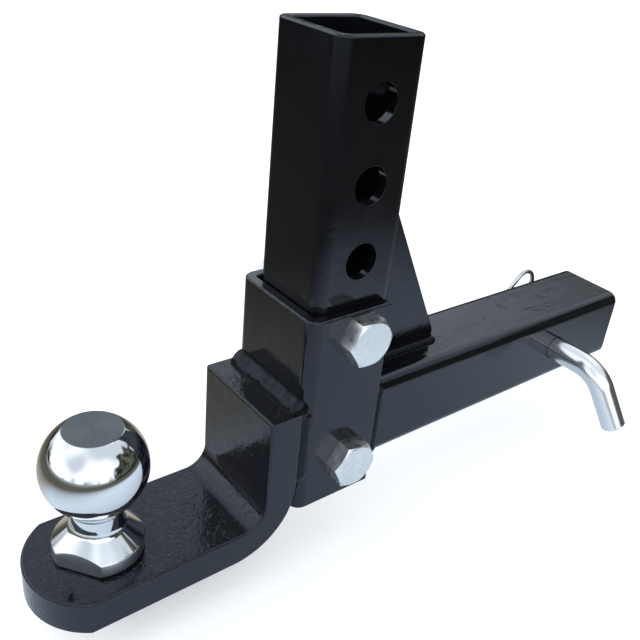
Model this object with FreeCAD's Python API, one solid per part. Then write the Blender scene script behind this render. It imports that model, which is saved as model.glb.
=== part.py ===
import FreeCAD, Part
import math
import os

# Adjustable ball mount for a square receiver: a shank carries an upright drilled mast, and a sleeve
# with an L-shaped ball platform is bolted to the mast at one of several heights.
# Frame: origin at the hitch-pin hole on the shank axis, +X towards the ball, +Z up, millimetres.

# Square tubes
tube_size = 50.0
tube_wall = 5.0
tube_corner = 7.0
edge_break = 0.8

# Shank
pin_to_mast = 190.0
pin_to_shank_end = 66.0
pin_diameter = 15.9
pin_hole_clearance = 0.35

# Mast and its row of height holes
hole_count = 6
hole_pitch = 38.1
hole_margin = 28.5
hole_lowest_z = -10.0
bolt_diameter = 16.0
bolt_hole_clearance = 1.5

# Gusset between mast and shank
gusset_thickness = 8.0
gusset_foot = 60.0
gusset_rise = 115.0
gusset_toe = 8.0
gusset_tip = 4.0
gusset_snipe = 9.0

# Sleeve on the mast
sleeve_clearance = 0.3
sleeve_wall = 6.0
sleeve_corner = 7.0
sleeve_inner_corner = 1.5
sleeve_reach_back = 19.0
sleeve_above_bolt = 14.0
sleeve_below_bolt = 25.0
bolt_holes_apart = 2

# Ball platform, bent from flat bar
bar_thickness = 19.0
bar_edge = 1.5
platform_top_z = -34.5
platform_leg_top_z = 29.5
bend_inside = 12.0
bend_outside = 37.0
mast_to_ball = 126.5
platform_end_radius = 36.0

# Tow ball
ball_diameter = 50.0
ball_centre_height = 51.0
ball_flat_diameter = 27.0
ball_collar_radius = 13.6
ball_collar_height = 2.0
ball_neck_radius = 12.4
ball_neck_low = 18.6
ball_foot_radius = 14.2
ball_foot_height = 15.6
ball_base_diameter = 43.5
ball_base_rim = 8.6
ball_base_chamfer = 1.8
ball_base_across_flats = 36.6
ball_flat_turn = 36.0
ball_shank_diameter = 19.0
ball_shank_clearance = 0.3
ball_shank_past_nut = 7.0

# Hex hardware
bolt_across_flats = 24.0
bolt_head_height = 10.0
bolt_nut_height = 12.0
bolt_past_nut = 1.0
bolt_washer_thickness = 3.5
bolt_washer_outside = 27.0
ball_nut_across_flats = 28.6
ball_nut_height = 14.0
ball_washer_thickness = 4.0
ball_washer_outside = 31.0
thread_clearance = 0.05
washer_clearance = 0.3
washer_slit = 2.0
hex_chamfer_angle = 30.0
thread_end_chamfer = 1.6
upper_bolt_turn = -2.0
lower_bolt_turn = 6.0
bolt_nut_turn = 0.0

# Bent hitch pin and its hairpin clip
pin_bend_start = 47.5
pin_bend_radius = 22.0
pin_bend_angle = 60.0
pin_handle_length = 28.0
pin_handle_swing = 10.0
pin_far_end = 43.0
pin_end_chamfer = 1.8
clip_offset = 33.0
clip_wire = 3.2
clip_hole_clearance = 0.4
clip_grip_clearance = 0.2
clip_loop_radius = 10.0
clip_loop_reach = 33.5
clip_tail = 18.0
clip_grip_angle = 40.0
clip_waist_radius = 4.0
clip_lip = 4.0
clip_rise_angle = 43.0

# Weld beads
shank_weld_radius = 3.2
shank_weld_sink = 1.2
gusset_weld_radius = 3.4
platform_weld_radius = 10.5
platform_weld_sink = 1.8
side_weld_crown = 0.7
side_weld_shy = 1.0

# Places that follow from the sizes above
tube_half = tube_size / 2
mast_x = pin_to_mast
mast_back_x = mast_x - tube_half
mast_bottom_z = hole_lowest_z - hole_margin
mast_top_z = hole_lowest_z + (hole_count - 1) * hole_pitch + hole_margin
hole_diameter = bolt_diameter + 2 * bolt_hole_clearance
lower_bolt_z = hole_lowest_z
upper_bolt_z = hole_lowest_z + bolt_holes_apart * hole_pitch
sleeve_inner = tube_half + sleeve_clearance
sleeve_outer = sleeve_inner + sleeve_wall
sleeve_front_x = mast_x + sleeve_outer
bar_width = 2 * sleeve_outer
sleeve_top_z = upper_bolt_z + sleeve_above_bolt
sleeve_bottom_z = lower_bolt_z - sleeve_below_bolt
platform_front_x = sleeve_front_x + bar_thickness
platform_bottom_z = platform_top_z - bar_thickness
ball_x = mast_x + mast_to_ball

X_AXIS = FreeCAD.Vector(1, 0, 0)
Y_AXIS = FreeCAD.Vector(0, 1, 0)
Z_AXIS = FreeCAD.Vector(0, 0, 1)
ORIGIN = FreeCAD.Vector(0, 0, 0)


def in_xy(u, v):
    return FreeCAD.Vector(u, v, 0)


def in_yz(u, v):
    return FreeCAD.Vector(0, u, v)


def in_xz(u, v):
    return FreeCAD.Vector(u, 0, v)


def rounded_wire(corners, plane):
    """Closed outline through corners given as (u, v, radius), each rounded by its own radius."""
    entries = []
    count = len(corners)
    for i, (u, v, radius) in enumerate(corners):
        here = plane(u, v)
        if radius <= 0:
            entries.append((here, None, here))
            continue
        before = plane(*corners[i - 1][:2]) - here
        after = plane(*corners[(i + 1) % count][:2]) - here
        before.normalize()
        after.normalize()
        half = before.getAngle(after) / 2
        reach = radius / math.tan(half)
        inward = before + after
        inward.normalize()
        middle = here + inward * (radius / math.sin(half) - radius)
        entries.append((here + before * reach, middle, here + after * reach))
    edges = []
    for i, (start, middle, end) in enumerate(entries):
        if middle is not None:
            edges.append(Part.Arc(start, middle, end).toShape())
        following = entries[(i + 1) % count][0]
        if (following - end).Length > 1e-6:
            edges.append(Part.LineSegment(end, following).toShape())
    return Part.Wire(edges)


def prism(corners, plane, along, start):
    """Solid made by pushing a rounded outline along a vector from a start point."""
    face = Part.Face(rounded_wire(corners, plane))
    face.translate(start)
    return face.extrude(along)


def square(half, radius):
    return [(half, half, radius), (-half, half, radius), (-half, -half, radius), (half, -half, radius)]


def cylinder(radius, start, end):
    along = end - start
    return Part.makeCylinder(radius, along.Length, start, along)


def cross_hole(diameter, x, z, half_length):
    """Drill along Y through both side walls."""
    return cylinder(diameter / 2, FreeCAD.Vector(x, -half_length, z), FreeCAD.Vector(x, half_length, z))


def edges_at(shape, axis, value):
    """Edges that lie wholly in the plane where one coordinate has the given value."""
    low, high = axis + "Min", axis + "Max"
    picked = []
    for edge in shape.Edges:
        box = edge.BoundBox
        if abs(getattr(box, low) - value) < 1e-4 and abs(getattr(box, high) - value) < 1e-4:
            picked.append(edge)
    return picked


def revolved(points):
    """Solid of revolution about Z from (radius, height) pairs; a triple adds an arc through its point."""
    edges = []
    for i, point in enumerate(points):
        following = points[(i + 1) % len(points)]
        a = in_xz(*point[:2])
        b = in_xz(*following[:2])
        if len(point) > 2:
            edges.append(Part.Arc(a, in_xz(*point[2]), b).toShape())
        else:
            edges.append(Part.LineSegment(a, b).toShape())
    return Part.Face(Part.Wire(edges)).revolve(ORIGIN, Z_AXIS, 360)


# Welded frame: shank, mast and gusset

def tube(half, wall, corner, along, plane, start):
    outer = prism(square(half, corner), plane, along, start)
    inner = prism(square(half - wall, corner - wall), plane, along, start)
    return outer.cut(inner), outer


def make_shank():
    start = FreeCAD.Vector(-pin_to_shank_end, 0, 0)
    along = X_AXIS * (pin_to_shank_end + mast_back_x)
    shell, outer = tube(tube_half, tube_wall, tube_corner, along, in_yz, start)
    shell = shell.makeChamfer(edge_break, edges_at(shell, "X", -pin_to_shank_end))
    drill = cross_hole(pin_diameter + 2 * pin_hole_clearance, 0, 0, tube_size)
    return shell.cut(drill), outer


def make_mast():
    start = FreeCAD.Vector(mast_x, 0, mast_bottom_z)
    along = Z_AXIS * (mast_top_z - mast_bottom_z)
    shell, outer = tube(tube_half, tube_wall, tube_corner, along, in_xy, start)
    shell = shell.makeChamfer(edge_break, edges_at(shell, "Z", mast_top_z))
    for i in range(hole_count):
        shell = shell.cut(cross_hole(hole_diameter, mast_x, hole_lowest_z + i * hole_pitch, tube_size))
    return shell, outer


def make_gusset():
    toe_x = mast_back_x - gusset_foot
    tip_z = tube_half + gusset_rise
    outline = [
        (mast_back_x, tip_z, 0),
        (mast_back_x - gusset_tip, tip_z, 0),
        (toe_x, tube_half + gusset_toe, 3.0),
        (toe_x, tube_half, 0),
        (mast_back_x - gusset_snipe, tube_half, 0),
        (mast_back_x, tube_half + gusset_snipe, 0),
    ]
    start = FreeCAD.Vector(0, -gusset_thickness / 2, 0)
    return prism(outline, in_xz, Y_AXIS * gusset_thickness, start)


# Sleeve and ball platform

def make_sleeve():
    back = -sleeve_reach_back
    outline = [
        (back, sleeve_outer, 0),
        (sleeve_outer, sleeve_outer, sleeve_corner),
        (sleeve_outer, -sleeve_outer, sleeve_corner),
        (back, -sleeve_outer, 0),
        (back, -sleeve_inner, 0),
        (sleeve_inner, -sleeve_inner, sleeve_inner_corner),
        (sleeve_inner, sleeve_inner, sleeve_inner_corner),
        (back, sleeve_inner, 0),
    ]
    along = Z_AXIS * (sleeve_top_z - sleeve_bottom_z)
    sleeve = prism(outline, in_xy, along, FreeCAD.Vector(mast_x, 0, sleeve_bottom_z))
    rims = edges_at(sleeve, "Z", sleeve_top_z) + edges_at(sleeve, "Z", sleeve_bottom_z)
    sleeve = sleeve.makeChamfer(edge_break, rims)
    for z in (lower_bolt_z, upper_bolt_z):
        sleeve = sleeve.cut(cross_hole(hole_diameter, mast_x, z, tube_size))
    return sleeve


def make_platform():
    end_x = ball_x + platform_end_radius
    outline = [
        (sleeve_front_x, platform_leg_top_z, 0),
        (platform_front_x, platform_leg_top_z, 0),
        (platform_front_x, platform_top_z, bend_inside),
        (end_x, platform_top_z, 0),
        (end_x, platform_bottom_z, 0),
        (sleeve_front_x, platform_bottom_z, bend_outside),
    ]
    bar = prism(outline, in_xz, Y_AXIS * bar_width, FreeCAD.Vector(0, -bar_width / 2, 0))
    height = platform_leg_top_z - platform_bottom_z
    corner = FreeCAD.Vector(sleeve_front_x, -bar_width / 2, platform_bottom_z)
    straight = Part.makeBox(ball_x - sleeve_front_x, bar_width, height, corner)
    nose = Part.makeCylinder(platform_end_radius, height, FreeCAD.Vector(ball_x, 0, platform_bottom_z))
    bar = bar.common(straight.fuse(nose)).removeSplitter()
    bar = bar.makeFillet(bar_edge, platform_outline_edges(bar))
    hole = ball_shank_diameter / 2 + ball_shank_clearance
    return bar.cut(Part.makeCylinder(hole, 4 * bar_thickness, FreeCAD.Vector(ball_x, 0, platform_bottom_z - 1)))


def platform_outline_edges(bar):
    """Edges that run round the bar's broad faces, apart from those against the sleeve."""
    picked = []
    for edge in bar.Edges:
        box = edge.BoundBox
        on_side = box.YLength < 1e-4
        on_nose = box.ZLength < 1e-4 and box.XMin > ball_x
        on_leg_top = box.ZMin > platform_leg_top_z - 1e-4 and box.XMin > platform_front_x - 1e-4
        at_sleeve = box.XMax < sleeve_front_x + 1e-4
        short_top = box.ZMin > platform_leg_top_z - 1e-4 and not on_leg_top
        if (on_side or on_nose or on_leg_top) and not at_sleeve and not short_top:
            picked.append(edge)
    return picked


# Tow ball and hex hardware

def make_ball():
    radius = ball_diameter / 2
    flat = ball_flat_diameter / 2
    flat_z = ball_centre_height + math.sqrt(radius ** 2 - flat ** 2)
    collar_z = ball_centre_height - math.sqrt(radius ** 2 - ball_collar_radius ** 2)
    base = ball_base_diameter / 2
    tip_z = -(bar_thickness + ball_washer_thickness + ball_nut_height + ball_shank_past_nut)
    stem = ball_shank_diameter / 2
    step = ball_collar_radius - ball_neck_radius
    collar_low_z = collar_z - ball_collar_height
    foot_bow = (ball_neck_radius + step / 3, (ball_neck_low + ball_foot_height) / 2 - step / 3)
    ball = revolved([
        (0, tip_z),
        (stem - thread_end_chamfer, tip_z),
        (stem, tip_z + thread_end_chamfer),
        (stem, 0),
        (base - ball_base_chamfer, 0),
        (base, ball_base_chamfer),
        (base, ball_base_rim),
        (ball_foot_radius, ball_foot_height, foot_bow),
        (ball_neck_radius, ball_neck_low),
        (ball_neck_radius, collar_low_z - step),
        (ball_collar_radius, collar_low_z),
        (ball_collar_radius, collar_z, (radius, ball_centre_height)),
        (flat, flat_z),
        (0, flat_z),
    ])
    side = ball_base_diameter
    for turn in (ball_flat_turn, ball_flat_turn + 180):
        corner = FreeCAD.Vector(ball_base_across_flats / 2, -side / 2, 0)
        trim = Part.makeBox(side, side, ball_foot_height, corner)
        trim.rotate(ORIGIN, Z_AXIS, turn)
        ball = ball.cut(trim)
    ball.translate(FreeCAD.Vector(ball_x, 0, platform_top_z))
    return ball


def hexagon(across_flats, height, chamfer_low, turn):
    """Hex prism on Z with its corners turned off at the top, and at the bottom too if asked."""
    corner = across_flats / math.sqrt(3)
    points = []
    for i in range(6):
        angle = math.radians(60 * i + turn)
        points.append((corner * math.cos(angle), corner * math.sin(angle), 0))
    body = prism(points, in_xy, Z_AXIS * height, ORIGIN)
    rim = across_flats / 2 * 0.97
    drop = (corner + 1 - rim) * math.tan(math.radians(hex_chamfer_angle))
    outline = [(0, 0), (rim, 0), (corner + 1, drop)] if chamfer_low else [(0, 0), (corner + 1, 0)]
    outline += [(corner + 1, height - drop), (rim, height), (0, height)]
    return body.common(revolved(outline))


def make_bolt(turn):
    """Hex bolt on Z: head above zero, shank below."""
    grip = 2 * sleeve_outer + bolt_washer_thickness + bolt_nut_height + bolt_past_nut
    radius = bolt_diameter / 2
    stem = revolved([(0, -grip), (radius - thread_end_chamfer, -grip), (radius, thread_end_chamfer - grip),
                     (radius, 0), (0, 0)])
    return hexagon(bolt_across_flats, bolt_head_height, False, turn).fuse(stem).removeSplitter()


def make_nut(across_flats, height, hole, turn):
    return hexagon(across_flats, height, True, turn).cut(Part.makeCylinder(hole, height))


def make_lock_washer(inside, outside, thickness, turn):
    """Spring washer pressed flat, with its slanting slit."""
    ring = Part.makeCylinder(outside, thickness).cut(Part.makeCylinder(inside, thickness))
    slit = Part.makeBox(2 * outside, washer_slit, 3 * thickness, FreeCAD.Vector(0, -washer_slit / 2, -thickness))
    slit.rotate(FreeCAD.Vector(0, 0, thickness / 2), X_AXIS, 20)
    slit.rotate(ORIGIN, Z_AXIS, turn)
    return ring.cut(slit)


def across_mast(shape, y, z):
    """Turn a piece built on Z so that its axis runs along Y through the mast."""
    shape.rotate(ORIGIN, X_AXIS, -90)
    shape.translate(FreeCAD.Vector(mast_x, y, z))
    return shape


# Hitch pin and clip

def make_pin():
    radius = pin_diameter / 2
    angle = math.radians(pin_bend_angle)
    straight = revolved([(0, -pin_far_end), (radius - pin_end_chamfer, -pin_far_end),
                         (radius, pin_end_chamfer - pin_far_end), (radius, pin_bend_start), (0, pin_bend_start)])
    straight.rotate(ORIGIN, X_AXIS, -90)
    section = Part.Face(Part.Wire(Part.makeCircle(radius, FreeCAD.Vector(0, pin_bend_start, 0), Y_AXIS)))
    centre = FreeCAD.Vector(0, pin_bend_start, -pin_bend_radius)
    elbow = section.revolve(centre, X_AXIS, -pin_bend_angle)
    handle = revolved([(0, 0), (radius, 0), (radius, pin_handle_length - pin_end_chamfer),
                       (radius - pin_end_chamfer, pin_handle_length), (0, pin_handle_length)])
    handle.rotate(ORIGIN, X_AXIS, -90 - pin_bend_angle)
    handle.translate(FreeCAD.Vector(0, pin_bend_start + pin_bend_radius * math.sin(angle),
                                    -pin_bend_radius * (1 - math.cos(angle))))
    pin = straight.fuse([elbow, handle]).removeSplitter()
    pin.rotate(ORIGIN, Y_AXIS, pin_handle_swing)
    drill = clip_wire / 2 + clip_hole_clearance
    return pin.cut(cylinder(drill, clip_point(-pin_diameter, 0), clip_point(pin_diameter, 0)))


def clip_point(along, across):
    """Place in the clip's plane: along its straight leg, and across towards the spring leg."""
    angle = math.radians(clip_rise_angle)
    x = -along * math.cos(angle) - across * math.sin(angle)
    z = along * math.sin(angle) - across * math.cos(angle)
    return FreeCAD.Vector(x, -clip_offset, z)


def clip_arc(centre, radius, start, end):
    points = []
    for angle in (start, (start + end) / 2, end):
        turn = math.radians(angle)
        points.append(clip_point(centre[0] + radius * math.cos(turn), centre[1] + radius * math.sin(turn)))
    return Part.Arc(*points).toShape()


def make_clip():
    """Hairpin: straight leg through the pin, round loop, and a spring leg that grips the pin's outside."""
    grip = pin_diameter / 2 + clip_wire / 2 + clip_grip_clearance
    reach = grip + clip_waist_radius
    turn = math.radians(clip_grip_angle)
    waist = (reach * math.cos(turn), reach * math.sin(turn))
    loop = (clip_loop_reach, clip_loop_radius)
    du, dw = loop[0] - waist[0], loop[1] - waist[1]
    lean = math.asin((clip_waist_radius + clip_loop_radius) / math.hypot(du, dw)) + math.atan2(dw, du)
    leave = 90 + math.degrees(lean)
    rest = clip_grip_angle + 180
    edges = [
        Part.LineSegment(clip_point(-clip_tail, 0), clip_point(clip_loop_reach, 0)).toShape(),
        clip_arc(loop, clip_loop_radius, -90, leave),
    ]
    start = clip_point(loop[0] + clip_loop_radius * math.cos(math.radians(leave)),
                       loop[1] + clip_loop_radius * math.sin(math.radians(leave)))
    end = clip_point(waist[0] - clip_waist_radius * math.cos(math.radians(leave)),
                     waist[1] - clip_waist_radius * math.sin(math.radians(leave)))
    edges.append(Part.LineSegment(start, end).toShape())
    edges.append(clip_arc(waist, clip_waist_radius, leave + 180, rest))
    edges.append(clip_arc((0, 0), grip, clip_grip_angle, 180 - clip_grip_angle))
    edges.append(clip_arc((-waist[0], waist[1]), clip_waist_radius, -clip_grip_angle, -135))
    lip = math.radians(-135)
    foot_u = -waist[0] + clip_waist_radius * math.cos(lip)
    foot_w = waist[1] + clip_waist_radius * math.sin(lip)
    end_u = foot_u + clip_lip * math.sin(lip)
    end_w = foot_w - clip_lip * math.cos(lip)
    edges.append(Part.LineSegment(clip_point(foot_u, foot_w), clip_point(end_u, end_w)).toShape())
    path = Part.Wire(edges)
    first = clip_point(-clip_tail, 0)
    along = clip_point(0, 0) - first
    section = Part.Wire(Part.makeCircle(clip_wire / 2, first, along))
    return path.makePipeShell([section], True, False)


# Weld beads

def bead(points, radius):
    """Round bead along a chain of points, with round ends and corners."""
    parts = [Part.makeSphere(radius, point) for point in points]
    parts += [cylinder(radius, a, b) for a, b in zip(points, points[1:])]
    return parts[0].fuse(parts[1:])


def make_shank_weld(shank_block, mast_block):
    """Bead all round the shank where it butts on the mast."""
    half = tube_half - shank_weld_sink
    path = rounded_wire(square(half, tube_corner - shank_weld_sink), in_yz)
    path.translate(FreeCAD.Vector(mast_back_x - shank_weld_sink, 0, 0))
    start = path.Vertexes[0].Point
    edge = path.Edges[0]
    along = edge.tangentAt(edge.FirstParameter)
    section = Part.Wire(Part.makeCircle(shank_weld_radius, start, along))
    ring = path.makePipeShell([section], True, False)
    return ring.cut([shank_block, mast_block]).removeSplitter()


def make_gusset_foot_weld(shank_block, gusset):
    side = gusset_thickness / 2
    toe_x = mast_back_x - gusset_foot
    near_x = mast_back_x - gusset_snipe - gusset_weld_radius
    points = [FreeCAD.Vector(near_x, side, tube_half), FreeCAD.Vector(toe_x, side, tube_half),
              FreeCAD.Vector(toe_x, -side, tube_half), FreeCAD.Vector(near_x, -side, tube_half)]
    return bead(points, gusset_weld_radius).cut([shank_block, gusset]).removeSplitter()


def make_gusset_mast_weld(mast_block, gusset):
    side = gusset_thickness / 2
    tip_z = tube_half + gusset_rise
    low_z = tube_half + gusset_snipe + gusset_weld_radius
    points = [FreeCAD.Vector(mast_back_x, side, low_z), FreeCAD.Vector(mast_back_x, side, tip_z),
              FreeCAD.Vector(mast_back_x, -side, tip_z), FreeCAD.Vector(mast_back_x, -side, low_z)]
    return bead(points, gusset_weld_radius).cut([mast_block, gusset]).removeSplitter()


def make_platform_top_weld(sleeve, platform):
    x = sleeve_front_x - platform_weld_sink
    z = platform_leg_top_z - platform_weld_sink
    reach = bar_width / 2 - platform_weld_radius
    points = [FreeCAD.Vector(x, -reach, z), FreeCAD.Vector(x, reach, z)]
    joined = bead(points, platform_weld_radius).cut([sleeve, platform, sleeve_core()])
    return max(joined.Solids, key=lambda solid: solid.Volume).removeSplitter()


def sleeve_core():
    """Block that fills the sleeve's inside, so that a bead stays outside it."""
    height = sleeve_top_z - sleeve_bottom_z
    corner = FreeCAD.Vector(mast_x - sleeve_inner, -sleeve_inner - 1, sleeve_bottom_z)
    return Part.makeBox(2 * sleeve_inner + 1, 2 * sleeve_inner + 2, height, corner)


def make_platform_side_weld(sleeve, platform, top_weld, side):
    """Weld metal that fills the groove between the leg and the sleeve's round corner, slightly crowned."""
    groove = sleeve_corner - side_weld_shy
    low_z = platform_bottom_z + bend_outside
    inner = FreeCAD.Vector(sleeve_front_x, side * (sleeve_outer - groove), low_z)
    edge = FreeCAD.Vector(sleeve_front_x, side * sleeve_outer, low_z)
    crown = FreeCAD.Vector(sleeve_front_x - groove / 2, side * (sleeve_outer + side_weld_crown), low_z)
    outer = FreeCAD.Vector(sleeve_front_x - groove, side * sleeve_outer, low_z)
    outline = [Part.LineSegment(inner, edge), Part.Arc(edge, crown, outer), Part.LineSegment(outer, inner)]
    face = Part.Face(Part.Wire([segment.toShape() for segment in outline]))
    filled = face.extrude(Z_AXIS * (platform_leg_top_z - bar_edge - low_z))
    filled = filled.cut([sleeve, platform, top_weld])
    return max(filled.Solids, key=lambda solid: solid.Volume).removeSplitter()


# Build every piece and write it out

os.makedirs("parts", exist_ok=True)

shank, shank_block = make_shank()
mast, mast_block = make_mast()
gusset = make_gusset()
sleeve = make_sleeve()
platform = make_platform()
top_weld = make_platform_top_weld(sleeve, platform)

pieces = {
    "shank_tube": shank,
    "mast_tube": mast,
    "gusset_plate": gusset,
    "shank_weld": make_shank_weld(shank_block, mast_block),
    "gusset_foot_weld": make_gusset_foot_weld(shank_block, gusset),
    "gusset_mast_weld": make_gusset_mast_weld(mast_block, gusset),
    "sleeve_channel": sleeve,
    "ball_platform": platform,
    "platform_top_weld": top_weld,
    "platform_left_weld": make_platform_side_weld(sleeve, platform, top_weld, -1),
    "platform_right_weld": make_platform_side_weld(sleeve, platform, top_weld, 1),
    "tow_ball": make_ball(),
    "hitch_pin": make_pin(),
    "pin_clip": make_clip(),
}

washer = make_lock_washer(ball_shank_diameter / 2 + washer_clearance, ball_washer_outside / 2,
                          ball_washer_thickness, 200)
washer.translate(FreeCAD.Vector(ball_x, 0, platform_bottom_z - ball_washer_thickness))
pieces["ball_lock_washer"] = washer
nut = make_nut(ball_nut_across_flats, ball_nut_height, ball_shank_diameter / 2 + thread_clearance, 30)
nut.translate(FreeCAD.Vector(ball_x, 0, platform_bottom_z - ball_washer_thickness - ball_nut_height))
pieces["ball_nut"] = nut

for name, z, turn in (("upper", upper_bolt_z, upper_bolt_turn), ("lower", lower_bolt_z, lower_bolt_turn)):
    pieces[name + "_bolt"] = across_mast(make_bolt(-turn), sleeve_outer, z)
    washer = make_lock_washer(bolt_diameter / 2 + washer_clearance, bolt_washer_outside / 2,
                              bolt_washer_thickness, 70 + turn)
    pieces[name + "_lock_washer"] = across_mast(washer, -sleeve_outer - bolt_washer_thickness, z)
    nut = make_nut(bolt_across_flats, bolt_nut_height, bolt_diameter / 2 + thread_clearance, bolt_nut_turn)
    nut_y = -sleeve_outer - bolt_washer_thickness - bolt_nut_height
    pieces[name + "_nut"] = across_mast(nut, nut_y, z)

for node, shape in pieces.items():
    shape.exportStep("parts/" + node + ".step")
    box = shape.BoundBox
    print(node, len(shape.Solids), shape.isValid(), round(shape.Volume), [round(v, 1) for v in (
        box.XMin, box.XMax, box.YMin, box.YMax, box.ZMin, box.ZMax)])
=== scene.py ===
# %% [markdown]
# # An adjustable ball mount
# The mount has a square shank for a vehicle's receiver, an upright mast with a row of holes, and a
# sleeve with a bent platform that is bolted to the mast at the height the trailer needs. The solids come
# packed as a fixed frame in metres: origin at the hitch-pin hole, +X towards the ball, +Z up. This lesson
# keeps every piece where the frame has it and adds what a solid model leaves out: softened edges, rippled
# welds, clean turned and drawn surfaces, and finishes made of nodes.

# %% Load the frame
import math

import bmesh
import bpy
from mathutils import Matrix, Vector


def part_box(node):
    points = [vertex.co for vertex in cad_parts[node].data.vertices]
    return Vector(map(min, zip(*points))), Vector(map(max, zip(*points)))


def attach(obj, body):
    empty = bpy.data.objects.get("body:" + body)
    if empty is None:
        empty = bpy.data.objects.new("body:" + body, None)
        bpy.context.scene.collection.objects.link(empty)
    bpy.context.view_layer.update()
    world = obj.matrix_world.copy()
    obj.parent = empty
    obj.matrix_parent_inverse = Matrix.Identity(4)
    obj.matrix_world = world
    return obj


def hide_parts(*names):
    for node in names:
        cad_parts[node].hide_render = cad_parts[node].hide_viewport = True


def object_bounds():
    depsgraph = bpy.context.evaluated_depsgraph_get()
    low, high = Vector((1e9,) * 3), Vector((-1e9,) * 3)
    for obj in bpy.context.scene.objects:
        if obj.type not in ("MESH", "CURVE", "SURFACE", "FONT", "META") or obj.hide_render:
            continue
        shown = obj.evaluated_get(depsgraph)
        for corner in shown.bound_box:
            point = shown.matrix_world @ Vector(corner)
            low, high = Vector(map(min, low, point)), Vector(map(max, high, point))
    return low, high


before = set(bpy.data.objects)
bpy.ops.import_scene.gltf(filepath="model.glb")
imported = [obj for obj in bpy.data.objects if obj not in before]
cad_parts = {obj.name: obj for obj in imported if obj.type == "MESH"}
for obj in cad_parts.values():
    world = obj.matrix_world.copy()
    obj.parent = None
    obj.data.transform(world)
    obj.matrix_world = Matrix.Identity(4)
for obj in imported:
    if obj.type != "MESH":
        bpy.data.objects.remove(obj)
cad_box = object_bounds()
scene = bpy.context.scene
MM = 0.001

# %% [markdown]
# ## Camera
# The photograph looks down on the ball's side of the mount from the pin's side. A camera fit to the tubes'
# edges gave its place, turn and lens. A small shift does the rest of the framing, because the picture was
# cropped off centre.

# %% Camera
CAMERA_PLACE = (0.42967, 0.28158, 0.26337)
CAMERA_TURN_DEG = (61.1709, -6.4502, 140.3808)
CAMERA_LENS, CAMERA_SENSOR = 44.918, 36.0
CAMERA_SHIFT = (-0.0549, 0.0012)
NEAR_CLIP = 10 * MM

camera_data = bpy.data.cameras.new("photo_camera")
camera_data.sensor_width = CAMERA_SENSOR
camera_data.lens = CAMERA_LENS
camera_data.shift_x, camera_data.shift_y = CAMERA_SHIFT
camera_data.clip_start = NEAR_CLIP
camera = bpy.data.objects.new("photo_camera", camera_data)
camera.location = CAMERA_PLACE
camera.rotation_euler = [math.radians(angle) for angle in CAMERA_TURN_DEG]
scene.collection.objects.link(camera)
scene.camera = camera
scene.view_settings.view_transform = "Standard"
print("camera is", round(Vector(CAMERA_PLACE).length, 3), "m from the hitch pin")

# %% [markdown]
# ## Small helpers for node trees
# Shader trees and geometry trees are both nodes with named sockets. One helper adds a node and either links
# or fills its inputs. With it and short names for the usual sums, a tree reads from top to bottom like a
# recipe.

# %% Node helpers
WHOLE, FALLING = (0.0, 1.0), (1.0, 0.0)


def put(tree, kind, inputs=None, **settings):
    """Add a node, give it its settings, then link or fill each named input."""
    made = tree.nodes.new(kind)
    for key, value in settings.items():
        setattr(made, key, value)
    for key, value in (inputs or {}).items():
        socket = made.inputs[key]
        if isinstance(value, bpy.types.NodeSocket):
            tree.links.new(value, socket)
        else:
            socket.default_value = value
    return made


def math_node(tree, operation, *values):
    return put(tree, "ShaderNodeMath", dict(enumerate(values)), operation=operation).outputs[0]


def plus(tree, first, second):
    return math_node(tree, "ADD", first, second)


def minus(tree, first, second):
    return math_node(tree, "SUBTRACT", first, second)


def times(tree, first, second):
    return math_node(tree, "MULTIPLY", first, second)


def vector_math(tree, operation, *values):
    return put(tree, "ShaderNodeVectorMath", dict(enumerate(values)), operation=operation).outputs


def component(tree, vector, axis):
    return put(tree, "ShaderNodeSeparateXYZ", {"Vector": vector}).outputs[axis]


def map_range(tree, value, span, result=WHOLE, smooth=False):
    """Stretch a span of values onto another; values past its ends stay at the ends."""
    inputs = {"Value": value, "From Min": span[0], "From Max": span[1],
              "To Min": result[0], "To Max": result[1]}
    kind = "SMOOTHSTEP" if smooth else "LINEAR"
    return put(tree, "ShaderNodeMapRange", inputs, interpolation_type=kind).outputs["Result"]


print("node helpers ready")

# %% [markdown]
# An effect that several pieces share is a group: a tree of its own with named inputs and outputs, built once
# and used with other values in each place. A Geometry Nodes tree is opened in the same way.

# %% Open a group
FLOAT, VECTOR, INTEGER = "NodeSocketFloat", "NodeSocketVector", "NodeSocketInt"
GEOMETRY, MATERIAL = "NodeSocketGeometry", "NodeSocketMaterial"


def open_group(name, kind, inputs, outputs):
    """A node group with named sockets, ready to be filled."""
    tree = bpy.data.node_groups.new(name, kind)
    for label, socket, value in inputs:
        made = tree.interface.new_socket(label, in_out="INPUT", socket_type=socket)
        if value is not None:
            made.default_value = value
    for label, socket in outputs:
        tree.interface.new_socket(label, in_out="OUTPUT", socket_type=socket)
    source = tree.nodes.new("NodeGroupInput").outputs
    sink = tree.nodes.new("NodeGroupOutput").inputs
    return tree, source, sink


print("groups can be opened")

# %% [markdown]
# ## Sprayed paint
# The steel is sprayed gloss black. Sprayed paint is never optically flat: it dries with a fine dimpled skin
# called orange peel, rides over the metal's slow waves, and sinks into pits of the hot-rolled bar. All of it
# is a height that a Bump node can read, so one group gives height, a cloudy tone and a haze for roughness.
# The haze is stretched along the tubes, the way a rag or a carton wipes them. Rolled tube also has its waves
# and pits drawn out along its length, so these take a stretch. The pits come in patches, and they are deepest
# on faces that look up. Noise values lie round one half, so each pair of noise values below is the span over
# which an effect grows from nothing to its full share.

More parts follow.
